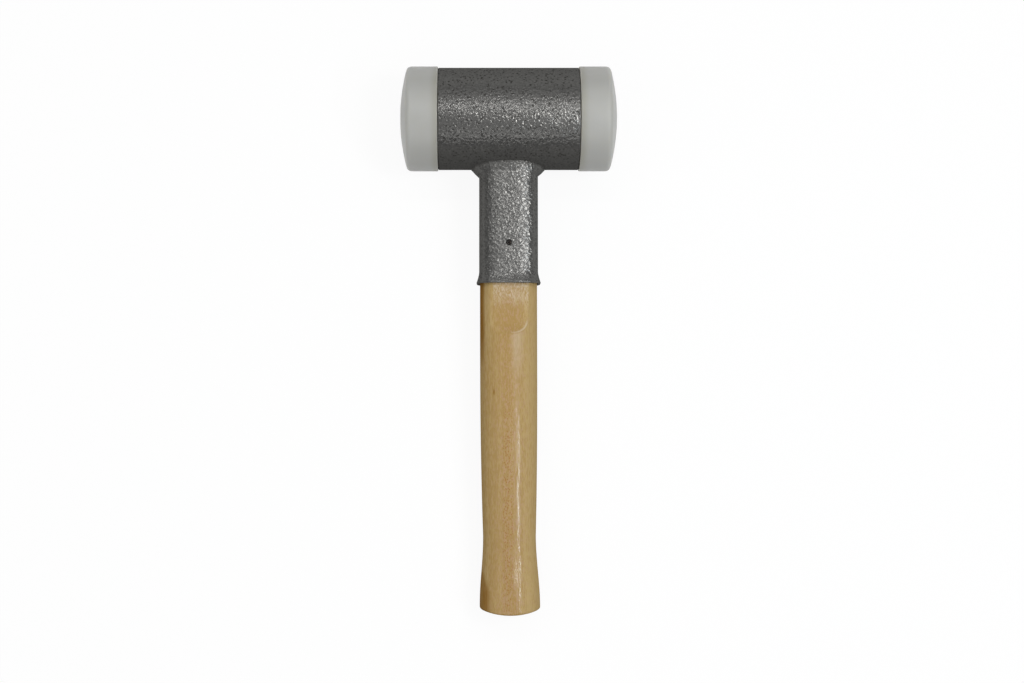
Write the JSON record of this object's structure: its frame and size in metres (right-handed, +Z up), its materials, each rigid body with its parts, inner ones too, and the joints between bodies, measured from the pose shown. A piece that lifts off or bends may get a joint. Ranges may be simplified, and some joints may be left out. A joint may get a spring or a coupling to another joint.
{
  "type": "dead blow hammer",
  "caption": "Two-faced recoilless mallet: painted steel tube head with loose shot inside, crowned nylon faces, welded socket and oval wooden handle.",
  "frame": {"origin": "on the bench, under the middle of the hammer's box, with the hammer lying on its two faces and its butt", "axes": "+X along the head's axis towards the right face, +Y from the butt towards the head, +Z up off the bench, out of the front cheek"},
  "size_m": [0.124, 0.314, 0.06],
  "materials": {
    "hammertone_paint": "grey hammertone enamel, semi-gloss",
    "nylon": "natural white nylon, satin",
    "varnished_wood": "clear-varnished hardwood",
    "plain_steel": "bare steel",
    "black_spring_steel": "blackened spring steel"
  },
  "bodies": {
    "hammer": {"head_tube": "hammertone_paint", "left_face": "nylon", "right_face": "nylon", "left_bulkhead": "plain_steel", "right_bulkhead": "plain_steel", "handle_socket": "hammertone_paint", "neck_weld": "hammertone_paint", "handle": "varnished_wood", "socket_pin": "black_spring_steel"},
    "shot_charge": {"shot_ball_01": "plain_steel", "shot_ball_02": "plain_steel", "shot_ball_03": "plain_steel", "shot_ball_04": "plain_steel", "shot_ball_05": "plain_steel", "shot_ball_06": "plain_steel", "shot_ball_07": "plain_steel", "shot_ball_08": "plain_steel", "shot_ball_09": "plain_steel", "shot_ball_10": "plain_steel", "shot_ball_11": "plain_steel", "shot_ball_12": "plain_steel", "shot_ball_13": "plain_steel", "shot_ball_14": "plain_steel", "shot_ball_15": "plain_steel", "shot_ball_16": "plain_steel", "shot_ball_17": "plain_steel", "shot_ball_18": "plain_steel", "shot_ball_19": "plain_steel", "shot_ball_20": "plain_steel", "shot_ball_21": "plain_steel", "shot_ball_22": "plain_steel", "shot_ball_23": "plain_steel", "shot_ball_24": "plain_steel", "shot_ball_25": "plain_steel", "shot_ball_26": "plain_steel", "shot_ball_27": "plain_steel", "shot_ball_28": "plain_steel", "shot_ball_29": "plain_steel", "shot_ball_30": "plain_steel", "shot_ball_31": "plain_steel", "shot_ball_32": "plain_steel", "shot_ball_33": "plain_steel", "shot_ball_34": "plain_steel", "shot_ball_35": "plain_steel", "shot_ball_36": "plain_steel", "shot_ball_37": "plain_steel", "shot_ball_38": "plain_steel", "shot_ball_39": "plain_steel", "shot_ball_40": "plain_steel", "shot_ball_41": "plain_steel", "shot_ball_42": "plain_steel"}
  },
  "joints": [
    {"name": "shot_slide", "type": "slide", "parent": "hammer", "child": "shot_charge", "axis": [1, 0, 0], "range_m": [-0.0074, 0.0074]}
  ]
}
